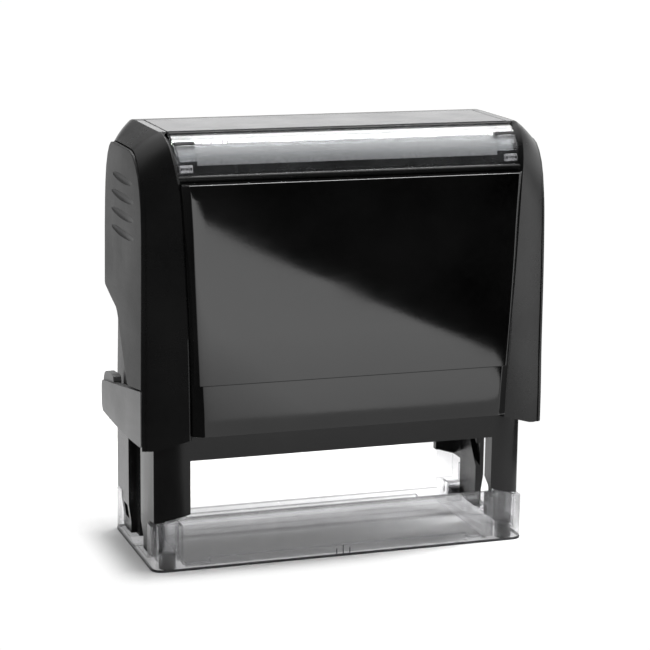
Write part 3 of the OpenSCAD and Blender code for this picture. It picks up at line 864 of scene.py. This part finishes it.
# Pieces kept as in the CAD, with bevelled edges.
# Columns: CAD node, name, bevel width, look, body.
CAD_PIECES = [
    ("foot_pads", "foot_pad_pegs", 0.25, "rubber", "base"),
    ("bridge", "bridge_body", 0.3, "bridge", "cap"),
    ("die_carrier", "die_carrier_body", 0.3, "die", "die"),
    ("die_cushion", "die_cushion_foam", 0.15, "foam", "die"),
    ("rubber_die", "rubber_die_face", 0.12, "die_rubber", "die"),
    ("ink_pad_tray", "ink_pad_tray_body", 0.3, "tray", "pad"),
    ("ink_pad_felt", "ink_pad_felt_block", 0.25, "felt", "pad"),
]


def ramp(value, limits):
    """0 to 1 between two limits."""
    return max(0, min(1, (value - limits[0]) / (limits[1] - limits[0])))


def make_frame():
    piece = cad_copy("frame", "frame_body")
    bm = bmesh.new()
    bm.from_mesh(piece.data)
    cut_edges(bm, 0, (-CORNER_X, CORNER_X))
    cut_edges(bm, 1, SPREAD_YS)
    cut_edges(bm, 2, (*SPREAD_ZS, SPREAD_TOP))
    for vertex in bm.verts:
        x, y, z = (c / MM for c in vertex.co)
        if abs(x) > CORNER_X and y < CORNER_Y:
            share = min(1, (CORNER_Y - y) / CORNER_DEPTH)
            vertex.co.y += share * CORNER_SLOPE * (abs(x) - CORNER_X) * MM
        if abs(x) > SPREAD_X and z < SPREAD_TOP:
            spread = ramp(y, SPREAD_YS) * ramp(z, SPREAD_ZS) * SPREAD
            vertex.co.x += math.copysign(spread, x) * MM
    bm.to_mesh(piece.data)
    bm.free()
    cut_side_boxes(piece, (37, 41.48), (11.5, 17.5), (-1, 14.2))
    finish(rounded(piece, 0.3, 3, angle=26), "frame", "base", sharp=26,
           replaces="frame")


def make_foot():
    foot = cad_copy("foot", "foot_clear_body")
    cut_side_boxes(foot, (36, 41.45), (11.5, 18.2), (5.6, 16))
    finish(rounded(foot, 0.22, 2), "foot", "base", sharp=34, replaces="foot")
    return foot


def make_cad_pieces():
    for node, name, width, look, body in CAD_PIECES:
        finish(rounded(cad_copy(node, name), width, 2), look, body, sharp=34,
               replaces=node)


# Return springs
SPRING_X = 24
SPRING_BOTTOM, SPRING_TOP = 55.4, 95.7
SPRING_INSET = 0.5       # wire centre inside the bottom and top
SPRING_RADIUS, WIRE_RADIUS = 4.4, 0.45
SPRING_TURNS, TURN_STEPS, WIRE_SIDES = 8, 40, 12


def spring_line(centre_x):
    steps = TURN_STEPS * SPRING_TURNS
    rise = SPRING_TOP - SPRING_BOTTOM - 2 * SPRING_INSET
    line = []
    for i in range(steps + 1):
        u = i / steps
        turn = 2 * math.pi * SPRING_TURNS * u
        line.append((centre_x + SPRING_RADIUS * math.cos(turn),
                     SPRING_RADIUS * math.sin(turn),
                     SPRING_BOTTOM + SPRING_INSET + rise * u))
    return line


def make_springs():
    """Coils of round wire with capped ends."""
    for side, word in SIDES:
        centre_x = side * SPRING_X
        line = spring_line(centre_x)
        last = len(line) - 1
        points, faces = [], []
        for i, point in enumerate(line):
            along = (Vector(line[min(i + 1, last)]) - Vector(line[max(i - 1, 0)])).normalized()
            outwards = Vector((point[0] - centre_x, point[1], 0)).normalized()
            upwards = along.cross(outwards).normalized()
            for k in range(WIRE_SIDES):
                turn = 2 * math.pi * k / WIRE_SIDES
                points.append(tuple(Vector(point) + outwards * (WIRE_RADIUS * math.cos(turn))
                                    + upwards * (WIRE_RADIUS * math.sin(turn))))
        for i in range(last):
            here, there = i * WIRE_SIDES, (i + 1) * WIRE_SIDES
            for k in range(WIRE_SIDES):
                following = (k + 1) % WIRE_SIDES
                faces.append([here + k, here + following, there + following, there + k])
        faces.append(list(range(WIRE_SIDES))[::-1])
        faces.append([last * WIRE_SIDES + k for k in range(WIRE_SIDES)])
        spring = solid("return_spring_%s_wire" % word, points, faces)
        finish(spring, "spring", "base", sharp=50,
               replaces="return_spring_" + word, weighted=False)
        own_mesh(spring)


def corner_loop(half_x, half_y, radius):
    """A rectangle with rounded corners, anticlockwise from above."""
    points = []
    for sign_x, sign_y, start in ((1, 1, 0), (-1, 1, 90), (-1, -1, 180), (1, -1, 270)):
        for step in range(5):
            turn = math.radians(start + 22.5 * step)
            points.append((sign_x * (half_x - radius) + radius * math.cos(turn),
                           sign_y * (half_y - radius) + radius * math.sin(turn)))
    return points


def make_shaded_foot_ring(foot):
    """The thick lower edge with painted contact shadow: a rounded rectangular ring just outside
    the foot, dark partly from the thick flange and partly as painted shade.
    """
    clearance, corner, thickness = 0.01, 2.6, 0.5
    heights = (0.02, 0.48)
    half_x = max(abs(v.co.x) for v in foot.data.vertices) / MM + clearance
    half_y = max(abs(v.co.y) for v in foot.data.vertices) / MM + clearance
    outer = corner_loop(half_x, half_y, corner)
    inner = corner_loop(half_x - thickness, half_y - thickness, corner - thickness)
    n = len(outer)
    points = [(x, y, z) for loop in (outer, inner) for z in heights for x, y in loop]
    faces = []
    for i in range(n):
        j = (i + 1) % n
        faces += [[i, j, n + j, n + i],
                  [2 * n + j, 2 * n + i, 3 * n + i, 3 * n + j],
                  [n + i, n + j, 3 * n + j, 3 * n + i],
                  [j, i, 2 * n + i, 2 * n + j]]
    # the dark tint paints the contact shadow under the foot's bottom edge
    finish(solid("foot_lower_edge_painted_shade", points, faces), "foot_edge_painted_shade", "base", sharp=34)


def make_foot_ticks():
    """Three upright ticks at the middle of the front, the middle one taller."""
    half_width, pitch = 0.14, 1.6
    for i, top in enumerate((1.9, 2.7, 1.9)):
        x = (i - 1) * pitch
        tick = box("foot_tick_%d" % i, (x - half_width, -18.48, 0.05),
                   (x + half_width, -18.4, top))
        finish(rounded(tick, 0.03, 1), "frame", "base")


make_cap_shell()
make_side_walls()
make_wing_linings()
make_top_plate()
make_card_bed()
make_window_lip()
make_lintel()
make_front_panel()
make_rear_panel()
make_side_grips()
make_window()
make_card()
make_window_ends()
make_window_seams()
make_lock_buttons()
make_frame()
foot_body = make_foot()
make_cad_pieces()
make_springs()
make_shaded_foot_ring(foot_body)
make_foot_ticks()


# ------------------------------------------------------------------ stage (metres)


def plane(name, points, material):
    mesh = bpy.data.meshes.new(name)
    mesh.from_pydata(points, [], [list(range(len(points)))])
    mesh.materials.append(material)
    return link(bpy.data.objects.new(name, mesh))


def emission_material(name, strength):
    g = material_graph(name)
    return g.finish(g.node("ShaderNodeEmission", Color=(1, 1, 1),
                           Strength=strength).outputs[0])


def bright_material():
    """Emission that grows towards the front and falls off to the left."""
    g = material_graph("stage_bright")
    place = g.split(g.coords.outputs["Object"])
    by_depth = g.remap(place["Y"], 2.0, 2.6, from_min=-0.125, from_max=-0.235)
    across = g.remap(place["X"], 0.1, 1.0, from_min=-0.05, from_max=0.03)
    shader = g.node("ShaderNodeEmission", Color=(1, 1, 1),
                    Strength=g.math("MULTIPLY", by_depth, across))
    return g.finish(shader.outputs[0])


def floor_material():
    """Diffuse under and behind the stamp, turning to even white a short way out."""
    half_width, front, rear = 0.0465, 0.019, 0.02
    rear_scale = 0.04        # distances behind the stamp count for this share
    fade = 0.010
    g = material_graph("stage_floor")
    diffuse = g.node("ShaderNodeBsdfDiffuse", Color=(0.56, 0.56, 0.56))
    white = g.node("ShaderNodeEmission", Strength=1.02)
    place = g.split(g.coords.outputs["Object"])
    beside = g.math("SUBTRACT", g.math("ABSOLUTE", place["X"]), half_width)
    before = g.math("SUBTRACT", g.math("MULTIPLY", place["Y"], -1.0), front)
    behind = g.math("MULTIPLY", g.math("SUBTRACT", place["Y"], rear), rear_scale)
    offset = g.node("ShaderNodeCombineXYZ")
    for socket, distance in zip(offset.inputs, (beside, before, behind)):
        g.feed(socket, g.math("MAXIMUM", distance, 0.0))
    length = g.node("ShaderNodeVectorMath", operation="LENGTH")
    g.feed(length.inputs[0], offset.outputs[0])
    share = g.remap(length.outputs["Value"], 0.0, 1.0, from_min=0.0, from_max=fade,
                    interpolation_type="SMOOTHSTEP")
    return g.finish(g.mix_shader(share, diffuse.outputs[0], white.outputs[0]))


def reflector(name, outline, height, material):
    """A level card seen only in reflections."""
    card = plane(name, [(x, y, height) for x, y in outline], material)
    card.visible_camera = False
    card.visible_diffuse = False
    card.visible_transmission = False
    card.visible_volume_scatter = False
    card.visible_shadow = False


CARD_Z = 0.0004
BACK_CARD_Z = 2 * CARD_Z
# (x, y) border between the bright card and the dark one to its right, front end last
BRIGHT_EDGE = [(0.108, -0.175), (0.106, -0.193), (0.101, -0.236), (0.099, -0.288),
               (0.098, -0.348), (0.101, -0.433), (0.104, -0.546), (0.098, -0.66),
               (0.075, -0.76), (0.03, -0.86)]
BRIGHT_CARD = [(-0.03, -0.14), (0.118, -0.14), *BRIGHT_EDGE, (-0.1, -0.9), (-0.06, -0.6)]
# Columns: name, (x, y) outline, height, material name, emission strength
CARDS = [
    ("stage_dark_card_right",
     [(0.118, -0.14), (0.2, -0.14), (4.9, -6), (-0.35, -6), (-0.1, -0.9), *BRIGHT_EDGE[::-1]],
     CARD_Z, "stage_dark", 0.0),
    ("stage_dark_card_left",
     [(-0.03, -0.05), (-0.03, -0.14), (-0.06, -0.6), (-0.35, -6), (-6, -6), (-6, 3.4),
      (-0.24, 0.13), (-0.1, 0.02)],
     CARD_Z, "stage_dark_left", 0.05),
    ("stage_grey_right",
     [(0.2, -0.141), (0.125, -0.062), (0.3, -0.062), (6, -0.062), (6, -6), (4.9, -6)],
     CARD_Z, "stage_grey", 1.9),
    ("stage_dark_side", [(0.1, -0.061), (6, -0.061), (6, 2), (0.1, 0.03)],
     CARD_Z, "stage_dark_side", 0.1),
    ("stage_grey_back", [(-0.098, 0.024), (0.07, 0.024), (0.07, 0.12), (-0.2, 0.12)],
     BACK_CARD_Z, "stage_grey_near", 1.25),
    ("stage_grey_back_far", [(-0.3, 0.1201), (-0.048, 0.1201), (-0.02, 0.8), (-1.2, 0.8)],
     BACK_CARD_Z, "stage_grey_far", 0.9),
    ("stage_strip", [(0.1, 0.2), (0.75, 0.2), (0.75, 0.85), (0.1, 0.85)],
     1.05, "stage_strip_light", 11.0),
]


def make_stage():
    plane("stage_floor", [(-6, -6, 0), (6, -6, 0), (6, 6, 0), (-6, 6, 0)],
                   floor_material())
    reflector("stage_bright_card", BRIGHT_CARD, CARD_Z, bright_material())
    for name, outline, height, material, strength in CARDS:
        reflector(name, outline, height, emission_material(material, strength))


def make_world():
    """Even light, nearly white to the camera; reflections see a banded sky."""
    world = bpy.data.worlds.new("stage_world")
    bpy.context.scene.world = world
    g = Graph(world)
    direction = g.coords.outputs["Generated"]
    towards_front = g.node("ShaderNodeVectorMath", operation="DOT_PRODUCT")
    g.feed(towards_front.inputs[0], direction)
    g.feed(towards_front.inputs[1], (-0.5, -0.866, 0))
    # the sky darkens towards the front left
    front_fade = g.remap(towards_front.outputs["Value"], 1.0, 0.015, from_min=0.2,
                         from_max=0.48)
    rays = g.node("ShaderNodeLightPath").outputs
    level = g.remap(rays["Is Camera Ray"], 0.74, 1.05, from_min=0.0, from_max=1.0)
    # bright at the horizon, dark above it, bright again overhead
    height = g.split(direction)["Z"]
    horizon = g.remap(height, 1.0, 0.12, from_min=0.12, from_max=0.22)
    overhead = g.remap(height, 0.0, 1.6, from_min=0.3, from_max=0.7)
    sky = g.math("MULTIPLY", g.math("ADD", horizon, overhead), front_fade)
    choice = g.node("ShaderNodeMix")
    for index, value in ((0, rays["Is Glossy Ray"]), (2, level), (3, sky)):
        g.feed(choice.inputs[index], value)
    background = g.node("ShaderNodeBackground", Color=choice.outputs[0], Strength=1.0)
    g.finish(background.outputs[0], "ShaderNodeOutputWorld")


def area_light(name, location, target, size, power):
    light = bpy.data.lights.new(name, "AREA")
    light.shape = "RECTANGLE"
    light.size, light.size_y = size
    light.energy = power
    lamp = link(bpy.data.objects.new(name, light))
    lamp.location = location
    aim = Vector(target) - Vector(location)
    lamp.rotation_euler = aim.to_track_quat("-Z", "Y").to_euler()
    lamp.visible_glossy = False


# Place in millimetres; yaw turns right from +y, pitch looks down, both in degrees
CAMERA_PLACE = (-163.733659, -483.348217, 163.102036)
CAMERA_YAW, CAMERA_PITCH, CAMERA_ROLL = 18.8381266, 12.4156477, 0.681291616
CAMERA_SENSOR, CAMERA_LENS = 36.0, 123.6600582


def make_camera():
    data = bpy.data.cameras.new("camera")
    data.sensor_width = CAMERA_SENSOR
    data.lens = CAMERA_LENS
    data.clip_start = 0.01
    data.clip_end = 50
    camera = link(bpy.data.objects.new("camera", data))
    yaw, pitch, roll = (math.radians(a) for a in (CAMERA_YAW, CAMERA_PITCH, CAMERA_ROLL))
    forward = Vector((math.sin(yaw) * math.cos(pitch), math.cos(yaw) * math.cos(pitch),
                      -math.sin(pitch)))
    level_right = Vector((math.cos(yaw), -math.sin(yaw), 0))
    level_up = level_right.cross(forward)
    right = level_right * math.cos(roll) + level_up * math.sin(roll)
    up = -level_right * math.sin(roll) + level_up * math.cos(roll)
    rotation = Matrix((right, up, -forward)).transposed()
    camera.matrix_world = (Matrix.Translation(Vector(CAMERA_PLACE) * MM)
                           @ rotation.to_4x4())
    bpy.context.scene.camera = camera


make_stage()
make_world()
area_light("stage_key", location=(0.8, -0.02, 0.75), target=(0, 0, 0.03), size=(0.5, 0.5),
           power=30)
area_light("stage_overhead", location=(0.1, 0.12, 1.1), target=(0, 0, 0.05),
           size=(1.2, 0.5), power=8)
make_camera()
bpy.context.scene.view_settings.view_transform = "Standard"
